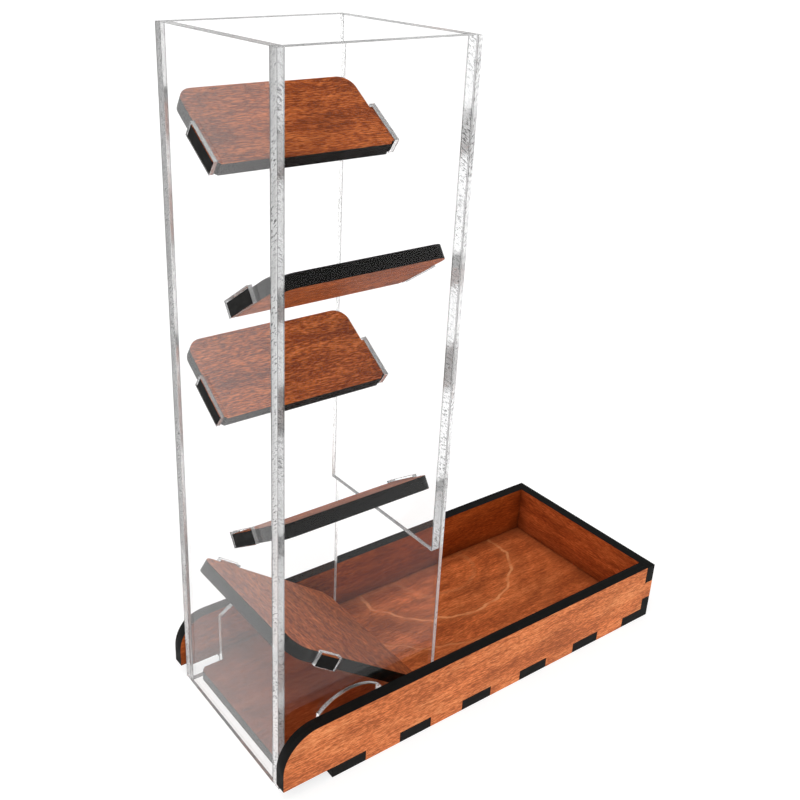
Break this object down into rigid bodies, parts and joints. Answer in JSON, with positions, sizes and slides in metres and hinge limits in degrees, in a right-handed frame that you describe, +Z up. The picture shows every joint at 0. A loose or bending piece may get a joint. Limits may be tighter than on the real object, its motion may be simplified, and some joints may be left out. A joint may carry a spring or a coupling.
{
  "type": "dice tower",
  "caption": "Clear acrylic dice shaft with sloping plywood baffles and an exit ramp, standing in the open end of a finger-jointed plywood rolling tray.",
  "frame": {"origin": "on the table, under the centre of the tray", "axes": "+Z up along the shaft, +X from the shaft to the tray's end wall, the way the dice roll out, +Y across the tray"},
  "size_m": [0.231, 0.0996, 0.305],
  "materials": {
    "acrylic": "clear cast acrylic sheet with laser-cut edges",
    "baffle_ply": "stained birch plywood with charred laser-cut edges",
    "tray_ply": "stained birch plywood with charred laser-cut edges"
  },
  "bodies": {
    "tray": {"tray_floor": "tray_ply", "tray_wall_right": "tray_ply", "tray_wall_left": "tray_ply", "tray_end_wall": "tray_ply"},
    "tower": {"back_panel": "acrylic", "front_panel": "acrylic", "side_panel_right": "acrylic", "side_panel_left": "acrylic", "baffle_1": "baffle_ply", "baffle_2": "baffle_ply", "baffle_3": "baffle_ply", "baffle_4": "baffle_ply", "exit_ramp": "baffle_ply"}
  },
  "joints": [
    {"name": "tower_lift", "type": "slide", "parent": "tray", "child": "tower", "axis": [0, 0, 1], "range_m": [0, 0.05]}
  ]
}
